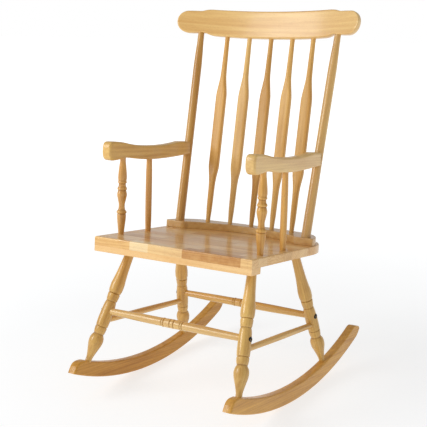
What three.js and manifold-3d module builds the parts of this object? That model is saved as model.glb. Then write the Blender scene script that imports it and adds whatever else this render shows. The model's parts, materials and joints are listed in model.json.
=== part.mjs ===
// Arrow-back rocking chair, in millimetres with +Z up.
// The sitter faces -Y, and +X is on the right of a viewer who faces the sitter.
// All the pieces are drawn in the seat's frame: x across, y back from the seat's front edge,
// z up from the seat's top. The last lines lean the whole chair back to the angle at which
// it comes to rest, stand it on the floor and centre it on its origin.
import * as THREE from "three";
import { mergeVertices } from "three/addons/utils/BufferGeometryUtils.js";
import Module from "manifold-3d";

const wasm = await Module();
wasm.setup();

// ---- driving dimensions ---------------------------------------------------------------
const GAP = 0.3; // clearance between glued or touching pieces
const ROUND = 12; // facets round a turned piece
const CUTTER = 10; // facets round a drilled hole

const seat = { width: 510, sideLength: 345, backDepth: 470, thickness: 24.5 };
const strip = { depth: 46, height: 17.5 };
const riser = { height: 21, width: 504 };
const legs = { middle: 224, topX: 197, topY: 117, topZ: -22.5, footX: 249, footY: 242, footZ: -358 };
const stretcherZ = { cross: -215, side: -243 };
const rocker = { x: 253, width: 26, centreZ: 518, bottomRadius: 948, topRadius: 905 };
const backPost = { baseX: 218, baseY: 367, topX: 233, topY: 456.5, topZ: 597, tenon: 7.5 };
const crest = { width: 614, thickness: 21, bend: 880, middleY: 487, jointZ: 587, lean: 0.137 };
const arm = { width: 30, frontX: 230, backX: 224, frontY: 2, length: 393, topZ: 266, cope: 13.7 };
const armPost = { tenon: 8.3 };
const spindleRow = { spacing: 73, spread: 1.01, baseY: 430, baseBow: 700 };
const spindleTop = 7;
const restLean = 5.7; // degrees that the seat slopes down to the back when the chair rests

// ---- materials ------------------------------------------------------------------------
const oak = (name, colour) =>
  new THREE.MeshStandardMaterial({ name, color: colour, roughness: 0.32, metalness: 0 });
const wood = {
  seat: oak("seat_wood", 0xd2ab7a),
  back: oak("back_wood", 0xcf9a5c),
  pale: oak("pale_wood", 0xdcb678),
  honey: oak("honey_wood", 0xc9964f),
  dark: oak("rocker_wood", 0xb98a4c),
};
const blackSteel = new THREE.MeshStandardMaterial({
  name: "black_steel",
  color: 0x17181a,
  roughness: 0.4,
  metalness: 0.9,
});
const zincSteel = new THREE.MeshStandardMaterial({
  name: "zinc_steel",
  color: 0xb9bdc2,
  roughness: 0.35,
  metalness: 1,
});

// ---- solids ---------------------------------------------------------------------------
const V = (x, y, z) => new THREE.Vector3(x, y, z);

/** A closed geometry as a manifold solid. */
function toSolid(geometry) {
  const bare = geometry.clone();
  bare.deleteAttribute("normal");
  bare.deleteAttribute("uv");
  const merged = mergeVertices(bare, 1e-3);
  return new wasm.Manifold(
    new wasm.Mesh({
      numProp: 3,
      vertProperties: new Float32Array(merged.attributes.position.array),
      triVerts: new Uint32Array(merged.index.array),
    }),
  );
}

/** A manifold solid as a geometry with flat normals. */
function toGeometry(solid) {
  const mesh = solid.getMesh();
  const indexed = new THREE.BufferGeometry();
  indexed.setAttribute("position", new THREE.BufferAttribute(mesh.vertProperties, 3));
  indexed.setIndex(new THREE.BufferAttribute(mesh.triVerts, 1));
  const geometry = indexed.toNonIndexed();
  geometry.computeVertexNormals();
  return geometry;
}

/** Cut tools, which are geometries in the seat's frame, out of a placed mesh. */
function cut(mesh, tools) {
  mesh.updateMatrix();
  const toLocal = mesh.matrix.clone().invert();
  let solid = toSolid(mesh.geometry);
  for (const tool of tools) {
    solid = solid.subtract(toSolid(tool.clone().applyMatrix4(toLocal)));
  }
  mesh.geometry = toGeometry(solid);
  return mesh;
}

/** Stand a mesh whose length runs along its own +Y between two points. */
function aim(mesh, from, to) {
  mesh.position.copy(from);
  const direction = to.clone().sub(from).normalize();
  mesh.quaternion.setFromUnitVectors(V(0, 1, 0), direction);
  return mesh;
}

/** A turned piece: its profile is [distance along the axis, radius] pairs. */
function turned(name, profile, from, to, material, facets = ROUND) {
  const outline = profile.map(([along, radius]) => new THREE.Vector2(radius, along));
  outline.unshift(new THREE.Vector2(0, profile[0][0]));
  outline.push(new THREE.Vector2(0, profile.at(-1)[0]));
  const mesh = new THREE.Mesh(new THREE.LatheGeometry(outline, facets), material);
  mesh.name = name;
  return aim(mesh, from, to);
}

/** A drilled hole between two points of the seat's frame. Its facets stay outside the circle. */
function hole(from, to, radius) {
  const length = from.distanceTo(to);
  const cornerRadius = radius / Math.cos(Math.PI / CUTTER);
  const geometry = new THREE.CylinderGeometry(cornerRadius, cornerRadius, length, CUTTER);
  geometry.translate(0, length / 2, 0);
  const drill = aim(new THREE.Mesh(geometry), from, to);
  drill.updateMatrix();
  return geometry.applyMatrix4(drill.matrix);
}

/** A flat outline made solid, `depth` thick, with small bevels all round. */
function board(shape, depth, bevel, curveSegments = 6) {
  return new THREE.ExtrudeGeometry(shape, {
    depth: depth - 2 * bevel,
    bevelEnabled: bevel > 0,
    bevelSize: bevel,
    bevelThickness: bevel,
    bevelOffset: -bevel,
    bevelSegments: 1,
    curveSegments,
  }).translate(0, 0, bevel);
}

function named(name, geometry, material) {
  const mesh = new THREE.Mesh(geometry, material);
  mesh.name = name;
  return mesh;
}

/** The point that lies a given share of the way from a to b. */
const along = (a, b, share) => a.clone().lerp(b, share);

/** The point of the line a-b at a given height. */
const atHeight = (a, b, z) => along(a, b, (z - a.z) / (b.z - a.z));

const chair = new THREE.Group();
const sides = [
  ["left", -1],
  ["right", 1],
];

// ---- where the sticks stand -----------------------------------------------------------
const socketDepth = { seat: 15, riser: 16, crest: 24, arm: 15, rocker: 17 };
const legLine = (sideX, end) => ({
  top: V(sideX * legs.topX, legs.middle + end * legs.topY, legs.topZ),
  foot: V(sideX * legs.footX, legs.middle + end * legs.footY, legs.footZ),
});
const backPostLine = (sideX) => ({
  base: V(sideX * backPost.baseX, backPost.baseY, riser.height),
  top: V(sideX * backPost.topX, backPost.topY, backPost.topZ),
});
const armPostLines = (sideX) => ({
  front: { base: V(sideX * 229, 85, 0), top: V(sideX * 228.5, 79, 217) },
  rear: { base: V(sideX * 227, 213, 0), top: V(sideX * 226.5, 203, 213.5) },
});
const spindleNumbers = [1, 2, 3, 4, 5];
const spindleLine = (number) => {
  const step = number - 3;
  const bow = (x, radius) => (x * x) / (2 * radius);
  const baseX = step * spindleRow.spacing;
  const topX = baseX * spindleRow.spread;
  return {
    base: V(baseX, spindleRow.baseY - bow(baseX, spindleRow.baseBow), riser.height),
    top: V(topX, crest.middleY - bow(topX, crest.bend), crest.jointZ),
  };
};

/** A point moved a given distance further along the line from a to b. */
const beyond = (a, b, distance) =>
  b.clone().add(b.clone().sub(a).normalize().multiplyScalar(distance));

// ---- seat -----------------------------------------------------------------------------
/** The plan of the seat: square in front, with bowed back and clipped rear corners. */
function seatPlan() {
  const half = seat.width / 2;
  const plan = new THREE.Shape();
  plan.moveTo(-half, 0);
  plan.lineTo(half, 0);
  plan.lineTo(half, seat.sideLength);
  plan.quadraticCurveTo(half - 2, 398, half - 26, 428);
  plan.quadraticCurveTo(half - 48, 455, half - 90, 460);
  plan.quadraticCurveTo(0, seat.backDepth + 10, -half + 90, 460);
  plan.quadraticCurveTo(-half + 48, 455, -half + 26, 428);
  plan.quadraticCurveTo(-half + 2, 398, -half, seat.sideLength);
  plan.closePath();
  return plan;
}

// The underside of the seat is relieved behind the rear legs, where the riser's screws start.
const relief = { startY: 375, depth: 5 };
const riserScrews = [-182, -36, 36, 182].map((x) => ({ x, y: Math.abs(x) > 100 ? 392 : 436 }));
const screw = { shank: 2.4, head: 5, headDepth: 3, length: 33 };
const screwUnder = -seat.thickness + relief.depth;

function seatBoard() {
  const bevel = 2;
  const geometry = board(seatPlan(), seat.thickness, bevel, 5).translate(0, 0, -seat.thickness);
  const mesh = named("seat_board", geometry, wood.seat);
  const drills = [];
  for (const [, sideX] of sides) {
    for (const end of [-1, 1]) {
      const { top, foot } = legLine(sideX, end);
      drills.push(hole(foot, beyond(foot, top, socketDepth.seat), 12.7 + GAP));
    }
    for (const { base, top } of Object.values(armPostLines(sideX))) {
      drills.push(hole(top, beyond(top, base, socketDepth.seat + GAP), armPost.tenon + GAP));
    }
  }
  for (const { x, y } of riserScrews) {
    const below = V(x, y, screwUnder - 10);
    drills.push(hole(below, V(x, y, 1), screw.shank + GAP));
    drills.push(hole(below, V(x, y, screwUnder + screw.headDepth + GAP), screw.head + GAP));
  }
  const reliefBox = new THREE.BoxGeometry(2 * seat.width, 2 * seat.width, 2 * relief.depth);
  reliefBox.translate(0, relief.startY + seat.width, -seat.thickness);
  drills.push(reliefBox);
  return cut(mesh, drills);
}

function seatFrontStrip() {
  const geometry = new THREE.BoxGeometry(seat.width, strip.depth, strip.height - GAP);
  geometry.translate(0, strip.depth / 2, -seat.thickness - GAP - (strip.height - GAP) / 2);
  return named("seat_front_strip", geometry, wood.seat);
}

/** The riser carries the back: flat blocks at its ends and a scooped front between them. */
function backRiser() {
  const half = riser.width / 2;
  const plan = new THREE.Shape();
  plan.moveTo(-half, 341);
  plan.lineTo(-196, 341);
  plan.quadraticCurveTo(-186, 341, -180, 352);
  plan.quadraticCurveTo(-100, 401, 0, 403);
  plan.quadraticCurveTo(100, 401, 180, 352);
  plan.quadraticCurveTo(186, 341, 196, 341);
  plan.lineTo(half, 341);
  plan.lineTo(half - 2, 360);
  plan.quadraticCurveTo(half - 14, 408, half - 48, 430);
  plan.quadraticCurveTo(half - 62, 441, half - 90, 445);
  plan.quadraticCurveTo(0, 470, -half + 90, 445);
  plan.quadraticCurveTo(-half + 62, 441, -half + 48, 430);
  plan.quadraticCurveTo(-half + 14, 408, -half + 2, 360);
  plan.closePath();
  const geometry = board(plan, riser.height - GAP, 1.5, 5).translate(0, 0, GAP);
  const mesh = named("back_riser", geometry, wood.back);
  const drills = [];
  for (const [, sideX] of sides) {
    const { base, top } = backPostLine(sideX);
    drills.push(hole(top, beyond(top, base, socketDepth.riser + GAP), 13.5 + GAP));
  }
  for (const number of spindleNumbers) {
    const { base, top } = spindleLine(number);
    drills.push(hole(top, beyond(top, base, socketDepth.riser + GAP), 6.5 + GAP));
  }
  for (const { x, y } of riserScrews) {
    drills.push(hole(V(x, y, -1), V(x, y, screwUnder + screw.length + 1), screw.shank + GAP));
  }
  return cut(mesh, drills);
}

function riserScrew(index) {
  const { x, y } = riserScrews[index];
  const profile = [
    [0, screw.head - 1],
    [0.8, screw.head],
    [screw.headDepth - 0.8, screw.head],
    [screw.headDepth, screw.shank],
    [screw.length - 4, screw.shank],
    [screw.length, 0.8],
  ];
  const from = V(x, y, screwUnder);
  return turned(`riser_screw_${index + 1}`, profile, from, V(x, y, 0), zincSteel, 12);
}

chair.add(seatBoard(), seatFrontStrip(), backRiser());
riserScrews.forEach((_, index) => chair.add(riserScrew(index)));

// ---- legs -----------------------------------------------------------------------------
/** A leg's profile, measured down from just inside the seat's underside: [distance, radius]. */
const legProfile = [
  [-socketDepth.seat + GAP, 12.7],
  [8, 12.7],
  [80, 15],
  [110, 17.6],
  [128, 19.6],
  [142, 19.4],
  [152, 17.6],
  [155, 15.6],
  [158, 17.4],
  [176, 15.6],
  [179, 14.2],
  [183, 16],
  [205, 17.6],
  [235, 18.2],
  [252, 17.4],
  [255, 15.6],
  [258, 17],
  [273, 15.6],
  [277, 14.2],
  [286, 19],
  [296, 20.4],
  [306, 19.6],
  [320, 16],
  [333, 12.4],
  [342, 10.2],
  [349, 9],
];

const bolt = { shank: 3, head: 8.5, headHeight: 5, reach: 58, seatX: 240.5 };
const crossStretcher = { halfLength: 222, endRadius: 9.5 };
const nut = { radius: 5, length: 14, x: 192 };

/** The ends of the side and cross stretchers on one leg. */
function legJoints(sideX, end) {
  const { top, foot } = legLine(sideX, end);
  return {
    cross: atHeight(top, foot, stretcherZ.cross),
    side: atHeight(top, foot, stretcherZ.side),
  };
}

function leg(name, sideX, end) {
  const { top, foot } = legLine(sideX, end);
  const length = top.distanceTo(foot);
  const profile = legProfile.map(([distance, radius]) => [distance, radius]);
  profile.push([length + socketDepth.rocker - GAP, 9]);
  const mesh = turned(name, profile, top, foot, wood.honey);
  const { cross, side } = legJoints(sideX, end);
  const inward = V(-sideX, 0, 0);
  const crossEnd = V(sideX * (crossStretcher.halfLength + GAP), cross.y, cross.z);
  const boltSeat = V(sideX * bolt.seatX, cross.y, cross.z);
  return cut(mesh, [
    hole(crossEnd, crossEnd.clone().addScaledVector(inward, 40), crossStretcher.endRadius + GAP),
    hole(boltSeat, boltSeat.clone().addScaledVector(inward, 30), bolt.shank + GAP),
    hole(boltSeat, boltSeat.clone().addScaledVector(inward, -20), bolt.head + 1),
    hole(sideTenonEnd(side, end), side.clone().add(V(0, -end * 40, 0)), sideStretcher.radius + GAP),
  ]);
}

// ---- stretchers -----------------------------------------------------------------------
const sideStretcher = { radius: 8.4, middle: 9.2, socket: 5 };

/** Where a side stretcher's socket ends, short of the leg's axis. */
function sideTenonEnd(side, end) {
  return V(side.x, side.y - end * (sideStretcher.socket - GAP), side.z);
}

/** Half of the cross stretcher's profile, from its middle out: [distance, radius]. */
const crossProfile = [
  [0, 12.9],
  [4, 12.8],
  [6.5, 11],
  [9, 12.7],
  [27, 12.2],
  [29, 13],
  [32, 13],
  [34, 11.8],
  [90, 11.6],
  [150, 10.6],
  [205, crossStretcher.endRadius],
  [crossStretcher.halfLength, crossStretcher.endRadius],
];

function crossStretcherPiece(name, end) {
  const { cross } = legJoints(1, end);
  const half = crossStretcher.halfLength;
  const outward = crossProfile.map(([distance, radius]) => [half + distance, radius]);
  const inward = crossProfile
    .slice(1)
    .reverse()
    .map(([distance, radius]) => [half - distance, radius]);
  const from = V(-half, cross.y, cross.z);
  const to = V(half, cross.y, cross.z);
  const mesh = turned(name, [...inward, ...outward], from, to, wood.honey);
  const drills = [];
  for (const [, sideX] of sides) {
    const tip = V(sideX * (half + 1), cross.y, cross.z);
    drills.push(hole(tip, V(sideX * (nut.x - 14), cross.y, cross.z), bolt.shank + GAP));
    const nutTop = V(sideX * nut.x, cross.y, cross.z + nut.length / 2 + GAP);
    drills.push(hole(nutTop, nutTop.clone().add(V(0, 0, -40)), nut.radius + GAP));
  }
  return cut(mesh, drills);
}

function sideStretcherPiece(name, sideX) {
  const front = legJoints(sideX, -1).side;
  const rear = legJoints(sideX, 1).side;
  const start = sideTenonEnd(front, -1).add(V(0, GAP, 0));
  const stop = sideTenonEnd(rear, 1).add(V(0, -GAP, 0));
  const length = start.distanceTo(stop);
  const profile = [
    [0, sideStretcher.radius],
    [30, sideStretcher.radius],
    [length / 2, sideStretcher.middle],
    [length - 30, sideStretcher.radius],
    [length, sideStretcher.radius],
  ];
  return turned(name, profile, start, stop, wood.honey);
}

function stretcherBolt(name, sideX, end) {
  const { cross } = legJoints(sideX, end);
  const profile = [
    [0, 4],
    [1.5, 7],
    [3, bolt.head - 0.3],
    [bolt.headHeight, bolt.head],
    [bolt.headHeight, bolt.shank],
    [bolt.headHeight + bolt.reach, bolt.shank],
  ];
  const from = V(sideX * (bolt.seatX + GAP + bolt.headHeight), cross.y, cross.z);
  return turned(name, profile, from, V(0, cross.y, cross.z), blackSteel, 12);
}

function barrelNut(name, sideX, end) {
  const { cross } = legJoints(sideX, end);
  const low = V(sideX * nut.x, cross.y, cross.z - nut.length / 2);
  const high = V(sideX * nut.x, cross.y, cross.z + nut.length / 2);
  const profile = [
    [0, nut.radius - 0.5],
    [0.5, nut.radius],
    [nut.length - 0.5, nut.radius],
    [nut.length, nut.radius - 0.5],
  ];
  const mesh = turned(name, profile, low, high, zincSteel, 12);
  const reach = V(10, 0, 0);
  const centre = along(low, high, 0.5);
  return cut(mesh, [hole(centre.clone().sub(reach), centre.clone().add(reach), bolt.shank + GAP)]);
}

for (const [endName, end] of [
  ["front", -1],
  ["rear", 1],
]) {
  chair.add(crossStretcherPiece(`stretcher_${endName}`, end));
  for (const [sideName, sideX] of sides) {
    const place = `${endName}_${sideName}`;
    chair.add(leg(`leg_${place}`, sideX, end));
    chair.add(stretcherBolt(`stretcher_bolt_${place}`, sideX, end));
    chair.add(barrelNut(`barrel_nut_${place}`, sideX, end));
  }
}

// ---- rockers --------------------------------------------------------------------------
/**
 * A rocker's side view, drawn with y to the right and z up, about the centre of its curve.
 * The bottom is a chain of short flats, and the middle of one of them meets the floor.
 */
function rockerOutline() {
  const flat = 1.8; // degrees from one flat's middle to the next
  const outline = new THREE.Shape();
  const spot = (radius, degrees) => {
    const angle = THREE.MathUtils.degToRad(degrees);
    return [radius * Math.sin(angle), -radius * Math.cos(angle)];
  };
  const cornerRadius = rocker.bottomRadius / Math.cos(THREE.MathUtils.degToRad(flat / 2));
  const firstCorner = restLean - 13.5 * flat;
  outline.moveTo(-308, -896);
  for (let corner = 0; corner <= 26; corner += 1) {
    outline.lineTo(...spot(cornerRadius, firstCorner + corner * flat));
  }
  outline.lineTo(460, -826);
  outline.lineTo(467, -812);
  outline.lineTo(462, -805);
  outline.lineTo(426, -797);
  for (let degrees = 24.6; degrees > -16.5; degrees -= 2.4) {
    outline.lineTo(...spot(rocker.topRadius, degrees));
  }
  outline.lineTo(-280, -867);
  outline.lineTo(-292, -872.5);
  outline.lineTo(-300, -881);
  outline.closePath();
  return outline;
}

function rockerPiece(name, sideX) {
  const geometry = board(rockerOutline(), rocker.width, 2.5);
  // The outline's x and y become the chair's y and z.
  const turn = new THREE.Matrix4().makeBasis(V(0, 1, 0), V(0, 0, 1), V(1, 0, 0));
  geometry.translate(0, 0, -rocker.width / 2).applyMatrix4(turn);
  const mesh = named(name, geometry, wood.dark);
  mesh.position.set(sideX * rocker.x, legs.middle, rocker.centreZ);
  const sockets = [-1, 1].map((end) => {
    const { top, foot } = legLine(sideX, end);
    return hole(top, beyond(top, foot, socketDepth.rocker), 9 + GAP);
  });
  return cut(mesh, sockets);
}

for (const [sideName, sideX] of sides) {
  chair.add(sideStretcherPiece(`stretcher_side_${sideName}`, sideX));
  chair.add(rockerPiece(`rocker_${sideName}`, sideX));
}

// ---- back -----------------------------------------------------------------------------
const armScrew = { shank: 2.4, head: 4.6, headDepth: 3, length: 45, z: 248, seatBehind: 9.5 };

function backPostPiece(name, sideX) {
  const { base, top } = backPostLine(sideX);
  const length = base.distanceTo(top);
  const profile = [
    [-socketDepth.riser, 13.5],
    [4, 13.5],
    [length * 0.4, 12.9],
    [length - 110, 12.6],
    [length - 60, 11.4],
    [length - 25, 9.9],
    [length - 1, 9.3],
    [length - 0.5, backPost.tenon],
    [length + socketDepth.crest, backPost.tenon],
  ];
  const mesh = turned(name, profile, base, top, wood.pale);
  const { outside, shoulder, tip } = armScrewLine(sideX);
  return cut(mesh, [
    hole(outside, tip, armScrew.shank + GAP),
    hole(outside, shoulder, armScrew.head + GAP),
  ]);
}

/** The screw that holds an arm runs level, from behind the post into the arm's end. */
function armScrewLine(sideX) {
  const { base, top } = backPostLine(sideX);
  const centre = atHeight(base, top, armScrew.z);
  const back = (distance) => centre.clone().add(V(0, distance, 0));
  const head = back(armScrew.seatBehind);
  const shoulder = back(armScrew.seatBehind - armScrew.headDepth - 1.5);
  return { outside: back(30), head, shoulder, tip: back(armScrew.seatBehind - armScrew.length - 1) };
}

/** A spindle is round at its ends and a flat blade between its shoulders. */
const spindleSections = [
  // [height above the riser, half width, half thickness]
  [-socketDepth.riser, 6.5, 6.5],
  [2, 6.5, 6.5],
  [40, 8.3, 8.3],
  [108, 9.4, 9.2],
  [135, 10.4, 9],
  [155, 13.4, 8.4],
  [173, 16.4, 8],
  [386, 16.4, 8],
  [404, 14.6, 8],
  [430, 11.2, 8.2],
  [462, 8.4, 8.2],
  [500, 7.8, 7.8],
  [555, spindleTop, spindleTop],
];

/** A solid through oval sections, which grow squarer as they grow flatter. */
function blade(sections, facets) {
  const positions = [];
  const triangles = [];
  for (const [z, halfWidth, halfThickness] of sections) {
    const squareness = halfWidth / halfThickness > 1.25 ? 0.45 : 1;
    for (let facet = 0; facet < facets; facet += 1) {
      const angle = ((facet + 0.5) / facets) * 2 * Math.PI;
      const stretch = (value) => Math.sign(value) * Math.abs(value) ** squareness;
      const x = halfWidth * stretch(Math.cos(angle));
      const y = halfThickness * stretch(Math.sin(angle));
      positions.push(x, y, z);
    }
  }
  const corner = (row, facet) => row * facets + (facet % facets);
  for (let row = 0; row < sections.length - 1; row += 1) {
    for (let facet = 0; facet < facets; facet += 1) {
      const [a, b] = [corner(row, facet), corner(row, facet + 1)];
      const [c, d] = [corner(row + 1, facet), corner(row + 1, facet + 1)];
      triangles.push(a, b, d, a, d, c);
    }
  }
  const last = sections.length - 1;
  for (let facet = 1; facet < facets - 1; facet += 1) {
    triangles.push(corner(0, 0), corner(0, facet + 1), corner(0, facet));
    triangles.push(corner(last, 0), corner(last, facet), corner(last, facet + 1));
  }
  const geometry = new THREE.BufferGeometry();
  geometry.setAttribute("position", new THREE.Float32BufferAttribute(positions, 3));
  geometry.setIndex(triangles);
  return geometry;
}

function spindle(number) {
  const { base, top } = spindleLine(number);
  const length = base.distanceTo(top);
  const sections = [...spindleSections, [length + socketDepth.crest, spindleTop, spindleTop]];
  // The blade's own axis is +Z, and its flat side faces the sitter.
  const mesh = named(`back_spindle_${number}`, blade(sections, 16), wood.back);
  mesh.position.copy(base);
  mesh.quaternion.setFromUnitVectors(V(0, 0, 1), top.clone().sub(base).normalize());
  return mesh;
}

/** The crest rail's front view: a long body between two round ends, in x and local z. */
function crestOutline() {
  const lobe = 34;
  const lobeX = crest.width / 2 - lobe;
  const lobeZ = 39;
  const quarter = Math.PI / 2;
  const outline = new THREE.Shape();
  outline.moveTo(0, -2);
  outline.quadraticCurveTo(150, -1.5, 188, 0.5);
  outline.quadraticCurveTo(204, 1.5, 213, 6.5);
  outline.quadraticCurveTo(222, 9, 238, 7.5);
  outline.lineTo(lobeX, lobeZ - lobe);
  outline.absarc(lobeX, lobeZ, lobe, -quarter, quarter, false);
  outline.lineTo(246, 74.5);
  outline.quadraticCurveTo(234, 74, 224, 78.5);
  outline.quadraticCurveTo(212, 82.5, 196, 82);
  outline.quadraticCurveTo(110, 79.5, 0, 79.5);
  outline.quadraticCurveTo(-110, 79.5, -196, 82);
  outline.quadraticCurveTo(-212, 82.5, -224, 78.5);
  outline.quadraticCurveTo(-234, 74, -246, 74.5);
  outline.lineTo(-lobeX, lobeZ + lobe);
  outline.absarc(-lobeX, lobeZ, lobe, quarter, 3 * quarter, false);
  outline.lineTo(-238, 7.5);
  outline.quadraticCurveTo(-222, 9, -213, 6.5);
  outline.quadraticCurveTo(-204, 1.5, -188, 0.5);
  outline.quadraticCurveTo(-150, -1.5, 0, -2);
  return outline;
}

/** The crest rail is its front view, cut from a slab that bends round behind the sitter. */
function crestRail() {
  const viewDepth = 200;
  const stand = new THREE.Matrix4().makeBasis(V(1, 0, 0), V(0, 0, 1), V(0, -1, 0));
  const view = board(crestOutline(), viewDepth, 0, 4).applyMatrix4(stand);
  view.translate(0, viewDepth / 4, 0);
  const sweep = THREE.MathUtils.degToRad(30);
  const [first, last] = [Math.PI / 2 - sweep, Math.PI / 2 + sweep];
  const slab = new THREE.Shape();
  slab.absarc(0, 0, crest.bend + crest.thickness / 2, first, last, false);
  slab.absarc(0, 0, crest.bend - crest.thickness / 2, last, first, true);
  slab.closePath();
  const bent = board(slab, viewDepth, 0, 24).translate(0, -crest.bend, -viewDepth / 4);
  const geometry = toGeometry(toSolid(view).intersect(toSolid(bent)));
  const mesh = named("crest_rail", geometry, wood.back);
  mesh.position.set(0, crest.middleY, crest.jointZ);
  mesh.rotation.x = -Math.atan(crest.lean);
  const depth = socketDepth.crest + GAP;
  const sockets = spindleNumbers.map((number) => {
    const { base, top } = spindleLine(number);
    return hole(base, beyond(base, top, depth), spindleTop + GAP);
  });
  for (const [, sideX] of sides) {
    const { base, top } = backPostLine(sideX);
    sockets.push(hole(base, beyond(base, top, depth), backPost.tenon + GAP));
  }
  return cut(mesh, sockets);
}

chair.add(crestRail());
spindleNumbers.forEach((number) => chair.add(spindle(number)));

// ---- arms -----------------------------------------------------------------------------
/** An arm's side view, drawn with its length to the right, from its rounded front end. */
function armOutline() {
  const outline = new THREE.Shape();
  outline.moveTo(18, -53);
  outline.quadraticCurveTo(42, -52, 62, -48);
  outline.quadraticCurveTo(84, -44.5, 106, -48);
  outline.quadraticCurveTo(160, -53.5, 215, -53);
  outline.quadraticCurveTo(300, -51, arm.length, -40);
  outline.lineTo(arm.length, -3);
  outline.quadraticCurveTo(372, -2, 340, -2);
  outline.quadraticCurveTo(268, -13.5, 190, -12.5);
  outline.quadraticCurveTo(120, -12, 78, -4);
  outline.quadraticCurveTo(50, 0.5, 12, 0);
  outline.quadraticCurveTo(1, -1, 0, -14);
  outline.quadraticCurveTo(-2, -34, 4, -45);
  outline.quadraticCurveTo(8, -52, 18, -53);
  return outline;
}

function armPiece(name, sideX) {
  const turn = new THREE.Matrix4().makeBasis(V(0, 1, 0), V(0, 0, 1), V(1, 0, 0));
  const geometry = board(armOutline(), arm.width, 3, 3);
  geometry.translate(0, 0, -arm.width / 2).applyMatrix4(turn);
  const mesh = named(name, geometry, wood.pale);
  mesh.position.set(sideX * arm.frontX, arm.frontY, arm.topZ);
  mesh.rotation.z = sideX * Math.atan2(arm.frontX - arm.backX, arm.length);
  const { base, top } = backPostLine(sideX);
  const screwLine = armScrewLine(sideX);
  const drills = Object.values(armPostLines(sideX)).map(({ base: foot, top: head }) =>
    hole(foot, beyond(foot, head, socketDepth.arm + GAP), armPost.tenon + GAP),
  );
  drills.push(hole(base, top, arm.cope));
  drills.push(hole(screwLine.head, screwLine.tip, armScrew.shank + GAP));
  return cut(mesh, drills);
}

function frontArmPost(name, sideX) {
  const { base, top } = armPostLines(sideX).front;
  const length = base.distanceTo(top);
  const profile = [
    [-socketDepth.seat, armPost.tenon],
    [2, armPost.tenon],
    [25, 10.2],
    [58, 12.9],
    [60, 11.6],
    [64, 14.4],
    [69, 12],
    [76, 9.2],
    [84, 8.6],
    [105, 12.6],
    [115, 14.2],
    [127, 11.6],
    [131, 13.9],
    [137, 11.2],
    [147, 10],
    [150, 12.8],
    [155, 11.8],
    [162, 12.8],
    [195, 10.2],
    [length - 6, armPost.tenon],
    [length + socketDepth.arm, armPost.tenon],
  ];
  return turned(name, profile, base, top, wood.honey);
}

function rearArmPost(name, sideX) {
  const { base, top } = armPostLines(sideX).rear;
  const length = base.distanceTo(top);
  const profile = [
    [-socketDepth.seat, armPost.tenon],
    [2, armPost.tenon],
    [40, 9.2],
    [length / 2, 9.5],
    [length - 40, 9.2],
    [length - 6, armPost.tenon],
    [length + socketDepth.arm, armPost.tenon],
  ];
  return turned(name, profile, base, top, wood.honey);
}

function armScrewPiece(name, sideX) {
  const { head, tip } = armScrewLine(sideX);
  const profile = [
    [GAP, armScrew.head],
    [armScrew.headDepth, armScrew.head],
    [armScrew.headDepth + 1.5, armScrew.shank],
    [armScrew.length - 4, armScrew.shank],
    [armScrew.length, 0.8],
  ];
  return turned(name, profile, head, tip, blackSteel, 12);
}

for (const [sideName, sideX] of sides) {
  chair.add(backPostPiece(`back_post_${sideName}`, sideX));
  chair.add(armPiece(`arm_${sideName}`, sideX));
  chair.add(frontArmPost(`arm_post_front_${sideName}`, sideX));
  chair.add(rearArmPost(`arm_post_rear_${sideName}`, sideX));
  chair.add(armScrewPiece(`arm_screw_${sideName}`, sideX));
}

// ---- the whole chair, at rest on the floor --------------------------------------------
chair.rotation.x = -THREE.MathUtils.degToRad(restLean);
const rockingChair = new THREE.Group();
rockingChair.add(chair);
const bounds = new THREE.Box3().setFromObject(rockingChair, true);
chair.position.set(0, -(bounds.min.y + bounds.max.y) / 2, -bounds.min.z);

export default rockingChair;
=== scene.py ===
# %% [markdown]
# # An arrow-back rocking chair
# A rocking chair is a plank seat with two sets of sticks in it. Four turned legs go down into two
# curved rockers, and two posts, five flat "arrow" spindles and four short arm posts go up. This
# script dresses the measured model of that chair in finer shapes and in lacquered wood.

# %% Load the measured chair
import json
import math
import random

import bmesh
import bpy
import numpy as np
from mathutils import Matrix, Vector


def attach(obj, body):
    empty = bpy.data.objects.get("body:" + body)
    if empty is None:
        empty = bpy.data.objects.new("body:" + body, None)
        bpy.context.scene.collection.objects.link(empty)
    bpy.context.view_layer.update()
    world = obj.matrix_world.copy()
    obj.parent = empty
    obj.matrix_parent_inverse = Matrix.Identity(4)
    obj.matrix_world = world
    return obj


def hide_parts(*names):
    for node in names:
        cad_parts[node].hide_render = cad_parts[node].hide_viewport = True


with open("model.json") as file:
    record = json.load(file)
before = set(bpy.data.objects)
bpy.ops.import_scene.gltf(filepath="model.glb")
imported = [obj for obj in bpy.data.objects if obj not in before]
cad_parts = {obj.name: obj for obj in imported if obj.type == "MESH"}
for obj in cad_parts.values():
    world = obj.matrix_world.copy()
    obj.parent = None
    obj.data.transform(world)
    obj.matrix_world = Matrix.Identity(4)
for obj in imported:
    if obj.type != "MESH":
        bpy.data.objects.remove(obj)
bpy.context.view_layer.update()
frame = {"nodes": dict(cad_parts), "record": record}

# %% [markdown]
# A chair maker measures everything from the seat, because the seat is flat and the sticks lean.
# So each piece here is drawn in millimetres in the seat's own frame: x across, y back from the
# front edge, z up from the seat's top. The seat's mount tells where the seat's top is and how far
# it slopes, and one matrix then puts every piece into the chair's real place in metres.

# %% The seat's frame
MOUNT_BACK = 80.0  # the mount's distance behind the seat's front edge
SEAT_WIDTH, SEAT_THICKNESS = 510.0, 24.5
seat_mount = next(m for m in frame["record"]["mounts"] if m["name"] == "seat_top")
lean = math.atan2(seat_mount["axis"][1], seat_mount["axis"][2])
SEAT_FRAME = (
    Matrix.Translation(seat_mount["pos_m"])
    @ Matrix.Rotation(-lean, 4, "X")
    @ Matrix.Scale(0.001, 4)
    @ Matrix.Translation((0, -MOUNT_BACK, 0))
)
print("the seat slopes back by", round(math.degrees(lean), 2), "degrees")

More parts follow.
